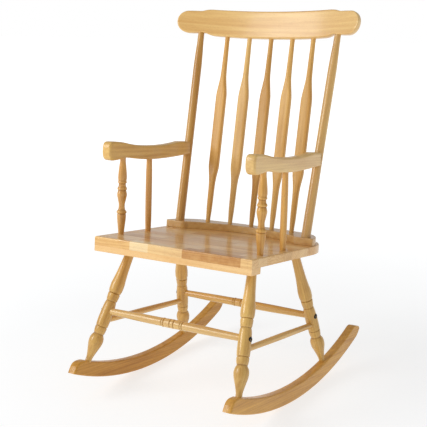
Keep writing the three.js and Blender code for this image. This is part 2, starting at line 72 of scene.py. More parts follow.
# %% [markdown]
# Shapes with corners and curves mixed are drawn as a line of points. `outline` walks from one
# point to the next along straight lines, soft bends with one control point, and arcs, much as a
# maker draws round a set of templates.

# %% Drawing lines
def outline(start, *steps):
    """A dense line of points: each step is ("to", p), ("bend", control, p) or ("arc", c, r, a, b)."""
    line = [np.array(start, float)]
    for kind, *rest in steps:
        if kind == "to":
            share = np.linspace(0, 1, 9)[1:, None]
            line.extend(line[-1] * (1 - share) + np.array(rest[0], float) * share)
        elif kind == "bend":
            share = np.linspace(0, 1, 25)[1:, None]
            first, control, last = line[-1], np.array(rest[0], float), np.array(rest[1], float)
            curve = first * (1 - share) ** 2 + control * 2 * share * (1 - share) + last * share**2
            line.extend(curve)
        else:
            centre, radius, begin, end = rest
            angles = np.radians(np.linspace(begin, end, 49))
            arc = np.stack([centre[0] + radius * np.cos(angles), centre[1] + radius * np.sin(angles)], 1)
            line.extend(arc)
    return np.array(line)


def mirrored(line):
    """A line that runs out from the middle, with its mirror image put before it."""
    return np.concatenate([line[:0:-1] * [-1, 1], line])


def evenly(line, count):
    """The same line with count + 1 points, evenly spaced along it."""
    steps = np.linalg.norm(np.diff(line, axis=0), axis=1)
    distance = np.concatenate([[0], np.cumsum(steps)])
    wanted = np.linspace(0, distance[-1], count + 1)
    return np.stack([np.interp(wanted, distance, line[:, i]) for i in range(2)], 1)


# %% [markdown]
# A board sawn to a pattern and rounded over at its edges is the commonest shape in a chair: the
# seat, the rockers, the arms and the crest rail are all made that way. `board` builds one from
# two lines, its lower and its upper edge. Rings of points run round the edge and give the
# round-over, and columns join the lower edge to the upper one across both faces, so that a face
# can be bent or hollowed afterwards.

# %% Boards
def unit(vectors):
    return vectors / (np.linalg.norm(vectors, axis=1)[:, None] + 1e-12)


def edge_normals(loop):
    """For each point of a closed loop, the way into the loop, lengthened at sharp corners."""
    before, after = unit(loop - np.roll(loop, 1, 0)), unit(np.roll(loop, -1, 0) - loop)
    inward = unit(np.stack([-(before + after)[:, 1], (before + after)[:, 0]], 1))
    turn = np.clip(np.sum(before * after, 1), -0.2, 1)
    return inward / np.sqrt((1 + turn) / 2)[:, None]


def ring_faces(rings, size):
    """The faces that join each closed ring of points to the next one."""
    faces = []
    for a in range(0, (rings - 1) * size, size):
        b = a + size
        for i in range(size):
            j = (i + 1) % size
            faces.append((a + i, a + j, b + j, b + i))
    return faces


FACE_MARGIN = 0.9  # millimetres from the round-over to where a flat face's grid starts


def board(low, high, thickness, front_round, back_round, stations=60, columns=10, steps=4):
    """(points, faces, edge): p, q and thickness t for each point, t from minus half to plus half."""
    low, high = evenly(low, stations), evenly(high, stations)
    side = np.linspace(0, 1, columns + 1)[1:-1, None]
    right = low[-1] * (1 - side) + high[-1] * side
    left = high[0] * (1 - side) + low[0] * side
    loop = np.concatenate([low, right, high[::-1], left])
    inward = edge_normals(loop)
    rings = []
    for radius, sign in ((back_round, -1), (front_round, 1)):
        half = []
        for angle in np.linspace(0, math.pi / 2, steps + 1):
            inset = radius * (1 - math.cos(angle))
            half.append((inset, sign * (thickness / 2 - radius * (1 - math.sin(angle))), 1.0))
        half[-1] = (half[-1][0], half[-1][1], 0.0)
        half.append((radius + FACE_MARGIN, sign * thickness / 2, 0.0))
        rings.extend(half[::-1] if sign < 0 else half)
    size = len(loop)
    points = [np.column_stack([loop + inward * inset, np.full(size, t)]) for inset, t, _ in rings]
    edge = [np.full(size, rounded) for _, _, rounded in rings]
    faces = ring_faces(len(rings), size)
    for ring, flip in ((0, True), (len(rings) - 1, False)):
        grid = np.zeros((stations + 1, columns + 1), int)
        grid[:, 0] = ring * size + np.arange(stations + 1)
        grid[:, columns] = ring * size + stations + columns + np.arange(stations + 1)[::-1]
        grid[stations, 1:columns] = ring * size + stations + 1 + np.arange(columns - 1)
        grid[0, 1:columns] = ring * size + 2 * stations + columns + 1 + np.arange(columns - 1)[::-1]
        outline_points = np.concatenate(points)
        inner = []
        for i in range(1, stations):
            for k in range(1, columns):
                share = k / columns
                first, last = outline_points[grid[i, 0]], outline_points[grid[i, columns]]
                grid[i, k] = len(outline_points) + len(inner)
                inner.append(first * (1 - share) + last * share)
        points.append(np.array(inner))
        edge.append(np.zeros(len(inner)))
        for i in range(stations):
            for k in range(columns):
                quad = (grid[i, k], grid[i + 1, k], grid[i + 1, k + 1], grid[i, k + 1])
                faces.append(quad[::-1] if flip else quad)
    return np.concatenate(points), faces, np.concatenate(edge)


# %% [markdown]
# A lathe makes the legs, posts and stretchers. `turned` spins a profile, a list of distances along
# the stick and radii, round the line between two points. A third value of 1 marks a sharp cut of
# the chisel, and between the cuts the profile runs in a smooth curve that never overshoots.

# %% Turned sticks
def smooth_heights(x, y, wanted):
    """A smooth curve through the points that keeps its hills and hollows where they are."""
    step, slope = np.diff(x), np.diff(y) / np.diff(x)
    rates = np.zeros(len(x))
    same = slope[:-1] * slope[1:] > 0
    weight_a, weight_b = 2 * step[1:] + step[:-1], step[1:] + 2 * step[:-1]
    with np.errstate(divide="ignore", invalid="ignore"):
        mean = (weight_a + weight_b) / (weight_a / slope[:-1] + weight_b / slope[1:])
    rates[1:-1] = np.where(same, mean, 0)
    rates[0], rates[-1] = slope[0], slope[-1]
    i = np.clip(np.searchsorted(x, wanted) - 1, 0, len(x) - 2)
    t = (wanted - x[i]) / step[i]
    return (
        y[i] * (1 + 2 * t) * (1 - t) ** 2
        + y[i + 1] * t * t * (3 - 2 * t)
        + rates[i] * step[i] * t * (1 - t) ** 2
        - rates[i + 1] * step[i] * t * t * (1 - t)
    )


def fine_profile(profile, spacing=1.6):
    """The profile with many points, sharp only where it is marked sharp."""
    rows = [(*row, 0)[:3] for row in profile]
    cuts = sorted({0, len(rows) - 1, *(i for i, row in enumerate(rows) if row[2])})
    fine = []
    for first, last in zip(cuts[:-1], cuts[1:]):
        part = np.array([row[:2] for row in rows[first : last + 1]], float)
        count = max(1, round((part[-1, 0] - part[0, 0]) / spacing))
        wanted = np.linspace(part[0, 0], part[-1, 0], count + 1)
        if len(part) > 2:
            radii = smooth_heights(part[:, 0], part[:, 1], wanted)
        else:
            radii = np.interp(wanted, part[:, 0], part[:, 1])
        fine.extend(zip(wanted[: None if last == cuts[-1] else -1], radii))
    return np.array(fine)


def axis_frame(start, end):
    """A matrix that stands +Z of a stick on the line from start to end."""
    start, end = Vector(start), Vector(end)
    turn = Vector((0, 0, 1)).rotation_difference(end - start)
    return Matrix.Translation(start) @ turn.to_matrix().to_4x4()


def sleeve_faces(rows, sides):
    """The faces of a stick of so many rings, closed at both ends by a point that follows them."""
    faces = ring_faces(rows, sides)
    bottom, top, last = rows * sides, rows * sides + 1, (rows - 1) * sides
    for i in range(sides):
        j = (i + 1) % sides
        faces.append((bottom, j, i))
        faces.append((top, last + i, last + j))
    return faces


HOLLOW_REACH = 3  # rings each side that a ring's radius is compared with
FULL_HOLLOW = 1.3  # millimetres of depth that count as a full hollow


def turned(profile, sides=64):
    """(points, faces, hollow shade and ridge polish) of a lathe-turned stick that stands on the origin
    along +Z.
    """
    fine = fine_profile(profile)
    angles = np.arange(sides) * 2 * math.pi / sides
    points = [
        np.column_stack([r * np.cos(angles), r * np.sin(angles), np.full(sides, z)]) for z, r in fine
    ]
    points.append(np.array([[0, 0, fine[0, 0]], [0, 0, fine[-1, 0]]]))
    # A hollow between two hills is painted darker as shade: compare each radius with those close by.
    padded = np.pad(fine[:, 1], HOLLOW_REACH, mode="edge")
    near = np.array([padded[i : i + 2 * HOLLOW_REACH + 1].mean() for i in range(len(fine))])
    hollow = np.clip((near - fine[:, 1]) / FULL_HOLLOW, -1, 1)
    shade_and_wear = np.append(np.repeat(hollow, sides), [0, 0])
    return np.concatenate(points), sleeve_faces(len(fine), sides), shade_and_wear


# %% [markdown]
# Every piece carries three painted-on values that the finish reads. `grain` is where a point lies
# in its own stick of wood, with the fibres along x, so that two pieces never show the same figure.
# `tone` says how light and how red that stick is, because no two sticks match, and on the riser
# and the crest it also holds painted shade and light. The third value is above zero in a hollow,
# where the finish paints shade, and below zero on an edge, where polish thins it.

# %% Making a piece
draw = random.Random(7)
WOOD = {}


def new_object(name, points, faces=(), values=(), shown=True):
    """A mesh object with values painted on its points, each three numbers or one."""
    mesh = bpy.data.meshes.new(name)
    mesh.from_pydata([Vector(p) for p in points], [], faces)
    for key, data in dict(values).items():
        vector = np.ndim(data) == 2
        layer = mesh.attributes.new(key, "FLOAT_VECTOR" if vector else "FLOAT", "POINT")
        layer.data.foreach_set("vector" if vector else "value", np.ravel(data).astype(np.float32))
    made = bpy.data.objects.new(name, mesh)
    if shown:
        bpy.context.scene.collection.objects.link(made)
    return made


def add_mesh(name, points, faces, values):
    """An object in the chair's frame, from points in millimetres in the seat's frame."""
    return new_object(name, [SEAT_FRAME @ Vector(p) for p in points], faces, values)


def clean(piece, sharp_angle):
    """Closes doubled points, turns all faces outwards and keeps only real corners sharp."""
    shape = bmesh.new()
    shape.from_mesh(piece.data)
    bmesh.ops.remove_doubles(shape, verts=shape.verts, dist=2e-6)
    bmesh.ops.recalc_face_normals(shape, faces=shape.faces)
    for face in shape.faces:
        face.smooth = True
    for edge in shape.edges:
        edge.smooth = len(edge.link_faces) != 2 or edge.calc_face_angle() < math.radians(sharp_angle)
    open_edges = sum(len(edge.link_faces) != 2 for edge in shape.edges)
    if shape.calc_volume(signed=True) < 0:
        bmesh.ops.reverse_faces(shape, faces=shape.faces)
    shape.to_mesh(piece.data)
    shape.free()
    return open_edges


def finish_piece(piece, slot, *nodes, sharp_angle=40, finish=None):
    """The piece stands for these measured nodes, takes its finish from the slot, and is cleaned."""
    open_edges = clean(piece, sharp_angle)
    piece.data.materials.clear()
    piece.data.materials.append(WOOD[finish or slot])
    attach(piece, "root")
    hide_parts(*nodes)
    print(piece.name, len(piece.data.polygons), "faces,", open_edges, "open edges")


def place_in_tree():
    """Where in the tree a stick was cut from, in metres."""
    return [draw.uniform(-3, 3), draw.uniform(-0.2, 0.2), draw.uniform(-0.2, 0.2)]


def wood_values(local, shade_and_wear, tone):
    """The painted-on values: local is in millimetres, with the fibres along x."""
    return {
        "grain": local / 1000 + place_in_tree(),
        "tone": np.tile([*tone, 0], (len(local), 1)),
        "shade_and_wear": shade_and_wear,
    }


def place(matrix, points):
    """Points moved by a matrix."""
    m = np.array(matrix)
    return points @ m[:3, :3].T + m[:3, 3]


def stick(name, profile, start, end, slot, tone):
    """A turned stick between two points of the seat's frame."""
    points, faces, shade_and_wear = turned(profile)
    values = wood_values(points[:, [2, 0, 1]], shade_and_wear, tone)
    piece = add_mesh(f"{name}_turned", place(axis_frame(start, end), points), faces, values)
    finish_piece(piece, slot, name)


# %% [markdown]
# ## The finishes
# The chair is pale golden hardwood under clear gloss lacquer. Real wood is built of fibres that
# run one way, so all its patterns are long along the fibre and short across it. The finish layers
# them from large to small: slow drifts of colour, growth rings warped a little, streaks, fine
# fibre and short dark pores. All of them read the `grain` value, so they follow each stick and
# show as end grain where a stick is cut across. The lacquer is the shader's coat.

# %% A small kit for wiring a finish
class Wiring:
    """A node tree that is being wired. `add` makes a node and returns what comes out of it."""

    def __init__(self, tree):
        self.tree = tree

    def add(self, kind, inputs=(), output=0, **settings):
        node = self.tree.nodes.new(kind)
        for key, value in settings.items():
            setattr(node, key, value)
        for key, value in dict(inputs).items():
            if isinstance(value, bpy.types.NodeSocket):
                self.tree.links.new(value, node.inputs[key])
            else:
                node.inputs[key].default_value = value
        return node.outputs[output]

    def maths(self, operation, *values, clamp=False):
        inputs = dict(enumerate(values))
        return self.add("ShaderNodeMath", inputs, operation=operation, use_clamp=clamp)

    def vectors(self, operation, first, second):
        return self.add("ShaderNodeVectorMath", {0: first, 1: second}, operation=operation)

    def part(self, vector, axis):
        return self.add("ShaderNodeSeparateXYZ", {0: vector}, output=axis)

    def range(self, value, low, high, to_low=0.0, to_high=1.0):
        ends = {"From Min": low, "From Max": high, "To Min": to_low, "To Max": to_high}
        return self.add("ShaderNodeMapRange", {"Value": value, **ends})


class Finish(Wiring):
    """A material that is being wired."""

    def __init__(self, name):
        self.material = bpy.data.materials.new(name)
        self.material.use_nodes = True
        super().__init__(self.material.node_tree)
        self.shader = self.tree.nodes["Principled BSDF"]

    def value(self, name):
        return self.add("ShaderNodeAttribute", output="Vector", attribute_name=name)

    def number(self, name):
        return self.add("ShaderNodeAttribute", output="Fac", attribute_name=name)

    def noise(self, vector, scale, detail=3.0, roughness=0.55, colour=False):
        stretched = self.vectors("MULTIPLY", vector, scale)
        inputs = {"Vector": stretched, "Scale": 1.0, "Detail": detail, "Roughness": roughness}
        return self.add("ShaderNodeTexNoise", inputs, output="Color" if colour else 0)

    def mix(self, share, first, second, blend="MIX"):
        inputs = {0: share, 6: first, 7: second}
        return self.add("ShaderNodeMix", inputs, output=2, data_type="RGBA", blend_type=blend)

    def join(self, output, socket):
        self.tree.links.new(output, self.shader.inputs[socket])

    def set(self, **values):
        for key, value in values.items():
            self.shader.inputs[key.replace("_", " ")].default_value = value


def colour(red, green, blue):
    """A colour given in the everyday 0 to 255 scale, as the linear light that the shader wants."""
    def linear(value):
        value /= 255
        return value / 12.92 if value <= 0.04045 else ((value + 0.055) / 1.055) ** 2.4

    return (linear(red), linear(green), linear(blue), 1)


# %% [markdown]
# One recipe makes all the wood, with a pale and a dark colour for each part of the chair. The
# turned sticks are a little deeper than the flat parts, and the rockers are deepest.

# %% Lacquered wood
RING_WIDTH = 0.0072  # metres from one growth ring to the next
HEART = (0, 0.031, 0.055)  # where the tree's heart lies, seen from the stick's middle


def wood_figure(f, grain, streak, ring_weight, wave):
    """How pale the wood is at each point, from 0 to 1, and its fine fibre and pores."""
    drift = f.noise(grain, (2.2, 26, 26), 2.0, colour=True)
    bend = f.vectors("MULTIPLY", f.vectors("SUBTRACT", drift, (0.5, 0.5, 0.5)), (0, wave, wave))
    warped = f.vectors("ADD", grain, bend)
    across = f.vectors("MULTIPLY", f.vectors("ADD", warped, HEART), (0, 1, 1))
    from_heart = f.add("ShaderNodeVectorMath", {0: across}, output="Value", operation="LENGTH")
    rings = f.range(f.maths("SINE", f.maths("MULTIPLY", from_heart, 2 * math.pi / RING_WIDTH)), -1, 1)
    streaks = f.noise(warped, (4.5, 95, 95), 3.0)
    slow = f.noise(grain, (3.0, 22, 22), 1.0)
    fibre = f.noise(warped, (22, 900, 900), 3.0, 0.65)
    pores = f.noise(warped, (110, 2600, 2600), 1.0)
    figure = f.maths("MULTIPLY", rings, ring_weight)
    for pattern, weight in ((streaks, streak), (slow, 0.3), (fibre, 0.2)):
        figure = f.maths("MULTIPLY_ADD", f.range(pattern, 0.3, 0.7), weight, figure)
    return f.maths("MULTIPLY", figure, 1 / (0.5 + ring_weight + streak), clamp=True), fibre, pores


def lacquered_wood(name, pale, dark, streak, shade=None, ring_weight=0.22, coat=0.42, wave=0.016):
    """Golden wood under clear lacquer."""
    f = Finish(name)
    grain = f.value("grain")
    figure, fibre, pores = wood_figure(f, grain, streak, ring_weight, wave)
    tint = f.mix(figure, dark, pale)
    tone, red = f.part(f.value("tone"), "X"), f.part(f.value("tone"), "Y")
    tint = f.mix(f.range(red, 0, 1), tint, (1.0, 0.87, 0.72, 1), "MULTIPLY")
    tint = f.mix(f.range(red, 0, -1), tint, (0.98, 1.0, 0.86, 1), "MULTIPLY")
    tint = f.mix(f.range(tone, 0, -1), tint, (0.55, 0.5, 0.45, 1), "MULTIPLY")
    tint = f.mix(f.range(tone, 0, 1, 0, 0.6), tint, (1.0, 0.93, 0.78, 1), "SCREEN")
    if shade is not None:
        tint = shade(f, tint)
    tint = f.mix(f.range(pores, 0.62, 0.72, 0, 0.45), tint, (0.35, 0.2, 0.09, 1), "MULTIPLY")
    shade_and_wear = f.number("shade_and_wear")
    scuffs = f.noise(grain, (60, 60, 60), 4.0)
    polished = f.maths("MULTIPLY", f.range(shade_and_wear, 0, -1, 0, 0.35), f.range(scuffs, 0.35, 0.65))
    tint = f.mix(polished, tint, pale)
    # Painted shade: the hollows of the turned sticks are darkened, for the shade in their grooves.
    tint = f.mix(f.range(shade_and_wear, 0.12, 0.9, 0, 0.5), tint, (0.34, 0.2, 0.09, 1), "MULTIPLY")
    f.join(tint, "Base Color")
    handled = f.range(f.noise(grain, (9, 14, 14), 3.0), 0.3, 0.7, 0.26, 0.4)
    f.join(f.maths("ADD", handled, f.range(fibre, 0.3, 0.7, 0, 0.06)), "Roughness")
    height = f.maths("MULTIPLY_ADD", f.range(pores, 0.6, 0.75), -0.6, fibre)
    bump = f.add("ShaderNodeBump", {"Height": height, "Strength": 0.12, "Distance": 0.0004})
    f.join(bump, "Normal")
    f.set(Coat_Weight=coat, Coat_Roughness=0.16, Specular_IOR_Level=0.7 * coat)
    return f.material


# %% [markdown]
# The seat is glued up from staves that run from side to side, and each stave from short blocks
# joined end to end. Every block was cut from another board, so the seat's front edge changes
# shade at each joint. Rows come from the distance back, and within a row one-dimensional cells
# of uneven length stand for the blocks. The front row's joints are set where the real ones are.

# %% The seat's blocks
STAVE = 0.046  # depth of one stave, front to back, in metres
BLOCK = 0.12  # the usual length of one block
ROW_SHIFT = 0.012  # the front stave was trimmed by this much
FRONT_ROW = [
    # where the block starts across the seat, how much lighter it is, how much redder
    (-SEAT_WIDTH / 2000, -0.02, 0.12), (-0.134, 0.3, -0.3), (-0.073, 0.1, 0.0), (0.038, -0.34, 0.75),
    (0.22, 0.06, 0.1),
]


def steps_ramp(f, share_across, starts, values):
    """A ramp that jumps from one block's value to the next along the front row."""
    node = f.tree.nodes.new("ShaderNodeValToRGB")
    node.color_ramp.interpolation = "CONSTANT"
    stops = node.color_ramp.elements
    while len(stops) < len(values):
        stops.new(0.5)
    for stop, start, value in zip(stops, starts, values):
        stop.position = start
        stop.color = (value, value, value, 1)
    f.tree.links.new(share_across, node.inputs[0])
    return node.outputs[0]


def block_shades(f, tint):
    """Gives each block of the seat its own lightness and redness, and draws the joints."""
    spot = f.value("block")
    across = f.part(spot, "X")
    rows = f.maths("DIVIDE", f.maths("ADD", f.part(spot, "Y"), ROW_SHIFT), STAVE)
    row = f.maths("FLOOR", rows)
    along = f.maths("MULTIPLY_ADD", row, 17.31, f.maths("DIVIDE", across, BLOCK))
    cells = {"W": along, "Scale": 1.0}
    cell = f.add("ShaderNodeTexVoronoi", cells, output="Color", voronoi_dimensions="1D")
    edge = f.add("ShaderNodeTexVoronoi", cells, voronoi_dimensions="1D", feature="DISTANCE_TO_EDGE")
    light = f.add("ShaderNodeSeparateColor", {0: cell}, output=0)
    red = f.add("ShaderNodeSeparateColor", {0: cell}, output=1)
    width = SEAT_WIDTH / 1000
    share_across = f.maths("DIVIDE", f.maths("ADD", across, width / 2), width)
    starts = [(x + width / 2) / width for x, _, _ in FRONT_ROW]
    lights = steps_ramp(f, share_across, starts, [0.5 + lighter for _, lighter, _ in FRONT_ROW])
    reds = steps_ramp(f, share_across, starts, [0.5 + redder / 2 for _, _, redder in FRONT_ROW])
    front = f.maths("LESS_THAN", row, 0.5)
    light = f.mix(front, f.range(light, 0, 1, 0.32, 0.68), lights)
    red = f.mix(front, f.range(red, 0, 1, 0.3, 0.7), reds)
    tint = f.mix(f.range(light, 0.5, 0.0, 0, 0.9), tint, (0.5, 0.36, 0.2, 1), "MULTIPLY")
    tint = f.mix(f.range(light, 0.5, 1.0, 0, 0.7), tint, (1.0, 0.86, 0.56, 1), "SCREEN")
    tint = f.mix(f.range(red, 0.5, 1.0, 0, 0.9), tint, (1.0, 0.82, 0.62, 1), "MULTIPLY")
    inside = f.maths("FRACT", rows)
    to_row = f.maths("MULTIPLY", f.maths("MINIMUM", inside, f.maths("SUBTRACT", 1.0, inside)), STAVE)
    joint = f.maths("MINIMUM", to_row, f.maths("MULTIPLY", edge, BLOCK))
    return f.mix(f.range(joint, 0.0006, 0.0, 0, 0.22), tint, (0.35, 0.2, 0.1, 1), "MULTIPLY")


# %% [markdown]
# The screws and bolts are steel. The bolts are blacked, a dull coat with fine specks, and the
# hidden screws are bright zinc with faint turning marks.

# %% Steel
def steel(name, base, rough, speck):
    f = Finish(name)
    spot = f.add("ShaderNodeTexCoord", output="Object")
    cloud = f.noise(spot, (400, 400, 400), 4.0)
    marks = f.noise(spot, (900, 900, 4000), 2.0)
    f.join(f.mix(f.range(cloud, 0.4, 0.7), base, speck), "Base Color")
    f.join(f.range(marks, 0.3, 0.7, rough - 0.1, rough + 0.12), "Roughness")
    bump = f.add("ShaderNodeBump", {"Height": marks, "Strength": 0.15, "Distance": 0.0001})
    f.join(bump, "Normal")
    f.set(Metallic=0.85)
    return f.material


SEAT_SETTINGS = {"shade": block_shades, "ring_weight": 0.5, "wave": 0.04}
WOODS = [
    # slot, label, pale colour, dark colour, strength of the streaks, other settings
    ("seat_wood", "seat lacquered wood", (244, 204, 134), (200, 140, 70), 0.35, SEAT_SETTINGS),
    ("strip_wood", "seat strip wood", (246, 208, 148), (226, 174, 106), 0.4, {}),
    ("back_wood", "back lacquered wood", (238, 204, 134), (202, 148, 78), 0.6, {}),
    ("spindle_wood", "spindle lacquered wood", (236, 196, 122), (192, 138, 68), 0.6, {"coat": 0.16}),
    ("pale_wood", "post lacquered wood", (222, 178, 98), (168, 114, 44), 0.6, {}),
    ("arm_wood", "arm lacquered wood", (238, 200, 120), (194, 142, 66), 0.6, {}),
    ("leg_wood", "leg lacquered wood", (238, 198, 116), (178, 126, 50), 0.6, {}),
    ("rocker_wood", "rocker lacquered wood", (234, 180, 84), (178, 118, 36), 0.7, {"coat": 0.25}),
]
for slot, label, pale, dark, streak, settings in WOODS:
    WOOD[slot] = lacquered_wood(label, colour(*pale), colour(*dark), streak, **settings)
WOOD["black_steel"] = steel("blacked steel", (0.018, 0.018, 0.02, 1), 0.42, (0.035, 0.035, 0.038, 1))
WOOD["zinc_steel"] = steel("zinc steel", (0.55, 0.56, 0.58, 1), 0.34, (0.42, 0.43, 0.45, 1))
print("finishes:", ", ".join(sorted(WOOD)))

# %% [markdown]
# ## The seat
# The seat is one thick plank, square in front, with clipped rear corners and a slightly bowed
# back. It is `board` again: its front edge is the lower line and its back edge the upper one.
# The top edge is rounded over for the sitter's legs.

# %% Seat board
def level_board(
    name, low, high, thickness, top, slot, node, tone=(0, 0), rounds=(3.2, 0.5), finish=None, **shape
):
    """A board that lies level, with its top at the given height in the seat's frame."""
    points, faces, edge = board(low, high, thickness, *rounds, **shape)
    points[:, 2] += top - thickness / 2
    values = wood_values(points, -0.6 * edge, tone)
    values["block"] = points / 1000
    piece = add_mesh(name, points, faces, values)
    finish_piece(piece, slot, node, finish=finish)


half = SEAT_WIDTH / 2
seat_front = outline((-half, 0), ("to", (half, 0)))
seat_back = outline(
    (-half, 345),
    ("bend", (-half + 2, 398), (-half + 26, 428)),
    ("bend", (-half + 48, 455), (-half + 90, 460)),
    ("bend", (0, 480), (half - 90, 460)),
    ("bend", (half - 48, 455), (half - 26, 428)),
    ("bend", (half - 2, 398), (half, 345)),
)
level_board(
    "seat_plank", seat_front, seat_back, SEAT_THICKNESS, 0, "seat_wood", "seat_board",
    stations=80, columns=30,
)

# %% [markdown]
# A strip is glued under the front edge to make the seat look thicker where it is seen. Its grain
# runs straight across in one length, a little paler than the blocks above it.

# %% Front strip
STRIP_DEPTH, STRIP_HEIGHT = 46.0, 17.5
STRIP_SET_BACK = 0.2
level_board(
    "seat_lip",
    outline((-half, STRIP_SET_BACK), ("to", (half, STRIP_SET_BACK))),
    outline((-half, STRIP_DEPTH), ("to", (half, STRIP_DEPTH))),
    STRIP_HEIGHT,
    -SEAT_THICKNESS,
    "seat_wood",
    "seat_front_strip",
    rounds=(0.3, 1.8),
    columns=8,
    finish="strip_wood",
)

# %% [markdown]
# The riser is a second board on top of the seat's back. It is thick enough to hold the posts and
# spindles, and its front is scooped so that it doesn't press on the sitter.

# %% Riser
RISER_HEIGHT, RISER_HALF = 21.0, 252.0
riser_front = mirrored(outline(
    (0, 403),
    ("bend", (100, 401), (180, 352)),
    ("bend", (186, 341), (196, 341)),
    ("to", (RISER_HALF - 3, 341)),
    ("bend", (RISER_HALF, 341), (RISER_HALF, 344)),
))
riser_back = outline(
    (-RISER_HALF + 2, 360),
    ("bend", (-RISER_HALF + 14, 408), (-RISER_HALF + 48, 430)),
    ("bend", (-RISER_HALF + 62, 441), (-RISER_HALF + 90, 445)),
    ("bend", (0, 470), (RISER_HALF - 90, 445)),
    ("bend", (RISER_HALF - 62, 441), (RISER_HALF - 48, 430)),
    ("bend", (RISER_HALF - 14, 408), (RISER_HALF - 2, 360)),
)
# Painted shade: the riser is given a dark, reddish tone, as it stands in shade.
level_board(
    "riser", riser_front, riser_back, RISER_HEIGHT - 0.3, RISER_HEIGHT, "back_wood", "back_riser",
    tone=(-0.6, 0.5), rounds=(2.6, 0.6), stations=110,
)

# %% [markdown]
# ## The legs
# Each leg is turned with two long swells and a bulb above the rocker, set off by narrow grooves.
# All four have the same profile, measured down from the underside of the seat. They splay
# outwards and lean fore and aft, so only their end points differ.

# %% Legs
LEG_TOP, LEG_FOOT = (197.0, 117.0, -22.5), (249.0, 242.0, -358.0)
LEG_MIDDLE = 224.0
LEG_PROFILE = [
    (-14.5, 12.6), (8, 12.7), (80, 15), (110, 17.5), (130, 19.6), (144, 19.3), (152.4, 17.6, 1),
    (154.6, 15.4, 1), (156.8, 17.5, 1), (166, 16.9), (176, 15.6, 1), (179, 14.0, 1), (181, 15.2, 1),
    (190, 16.7), (208, 17.8), (232, 18.2), (252.4, 17.4, 1), (254.8, 15.4, 1), (257.2, 17.1, 1),
    (266, 16.6), (273, 15.5, 1), (277, 14.1, 1), (280, 15.8), (287, 19.1), (296, 20.5), (305, 19.8),
    (320, 16), (333, 12.4), (343, 10.0), (350, 8.9), (378, 8.9),
]
CORNERS = [
    # name, side, end, and the tone of the leg there
    ("front_left", -1, -1, (-0.12, 0.2)), ("front_right", 1, -1, (0.02, -0.1)),
    ("rear_left", -1, 1, (-0.2, 0.2)), ("rear_right", 1, 1, (-0.1, 0)),
]


def leg_line(side, end):
    """The top and the foot of one leg's axis, for side and end of -1 or 1."""
    return [Vector((side * x, LEG_MIDDLE + end * y, z)) for x, y, z in (LEG_TOP, LEG_FOOT)]


for corner, side, end, tone in CORNERS:
    stick(f"leg_{corner}", LEG_PROFILE, *leg_line(side, end), "leg_wood", tone)

# %% [markdown]
# Stretchers keep the legs from spreading. The front and rear ones are thickest in the middle,
# with a pair of grooves and beads each side, and the side ones are plain with a slight swell.

# %% Stretchers
CROSS_HEIGHT, SIDE_HEIGHT, CROSS_HALF = -215.0, -243.0, 222.0
HALF_CROSS = [
    (0, 12.9), (4, 12.8, 1), (6.2, 10.6, 1), (8.4, 12.7, 1), (18, 12.5), (25.4, 12.2, 1),
    (27.2, 10.6, 1), (29, 12.8, 1), (30.5, 13.0), (32, 12.8, 1), (33.8, 10.6, 1), (36, 11.8, 1),
    (90, 11.6), (150, 10.6), (205, 9.6), (CROSS_HALF, 9.5),
]
CROSS_PROFILE = [(-row[0], *row[1:]) for row in HALF_CROSS[:0:-1]] + HALF_CROSS
SIDE_PROFILE = [(0.001, 8.4), (0.1, 8.4), (0.5, 9.2), (0.9, 8.4), (1, 8.4)]
SIDE_SOCKET = 5.0  # how far short of a leg's axis a side stretcher stops


def at_height(line, z):
    top, foot = line
    return top.lerp(foot, (z - top.z) / (foot.z - top.z))


for name, end, tone in (("front", -1, (0.15, 0.15)), ("rear", 1, (0.05, 0.15))):
    joint = at_height(leg_line(1, end), CROSS_HEIGHT)
    middle = Vector((0, joint.y, joint.z))
    stick(f"stretcher_{name}", CROSS_PROFILE, middle, middle + Vector((1, 0, 0)), "leg_wood", tone)
for name, side in (("left", -1), ("right", 1)):
    front, rear = (at_height(leg_line(side, end), SIDE_HEIGHT) for end in (-1, 1))
    front, rear = front + Vector((0, SIDE_SOCKET, 0)), rear - Vector((0, SIDE_SOCKET, 0))
    length = (rear - front).length
    profile = [(share * length, radius) for share, radius in SIDE_PROFILE]
    stick(f"stretcher_side_{name}", profile, front, rear, "leg_wood", (0.02, 0.25))

# %% [markdown]
# ## The rockers
# A rocker is sawn from a wide board to an arc, and its edges are eased all along. Its underside
# has to be one true circle, because that is what rolls on the floor. Seen from the side it is
# `board` once more, with the underside as the lower line.

# %% Rockers
ROCKER_X, ROCKER_WIDTH, ROCKER_CENTRE, ROCKER_ROUND = 253.0, 26.0, 518.0, 4.2
ROCK_RADIUS, BACK_RADIUS = 948.0, 905.0


def board_on_edge(name, low, high, thickness, rounding, where, slot, tone, polish=0.8, **shape):
    """A board whose outline is its side view. The matrix `where` puts it in place."""
    points, faces, edge = board(low, high, thickness, rounding, rounding, **shape)
    values = wood_values(points, -polish * edge, tone)
    piece = add_mesh(f"{name}_sawn", place(where, points[:, [2, 0, 1]]), faces, values)
    finish_piece(piece, slot, name)


rocker_low = outline(
    (-308, -896.3), ("arc", (0, 0), ROCK_RADIUS, 270 - 18.6, 270 + 27.8),
    ("bend", (459, -829), (467, -811.5)),
)
rocker_high = outline(
    (-299.5, -880.5), ("bend", (-292, -867.5), (-276, -866.8)),
    ("arc", (0, 0), BACK_RADIUS, 270 - 16.7, 270 + 27.2), ("bend", (427, -796.5), (440, -799.5)),
    ("to", (462.5, -804.8)),
)
for name, side, tone in (("left", -1, (-0.28, 0.2)), ("right", 1, (0.05, 0.1))):
    where = Matrix.Translation((side * ROCKER_X, LEG_MIDDLE, ROCKER_CENTRE))
    board_on_edge(
        f"rocker_{name}", rocker_low, rocker_high, ROCKER_WIDTH, ROCKER_ROUND, where, "rocker_wood", tone,
        stations=150, columns=6,
    )

# %% [markdown]
# ## The back
# The two outer posts are turned thin at the top, where they enter the crest rail. They lean
# outwards and back.

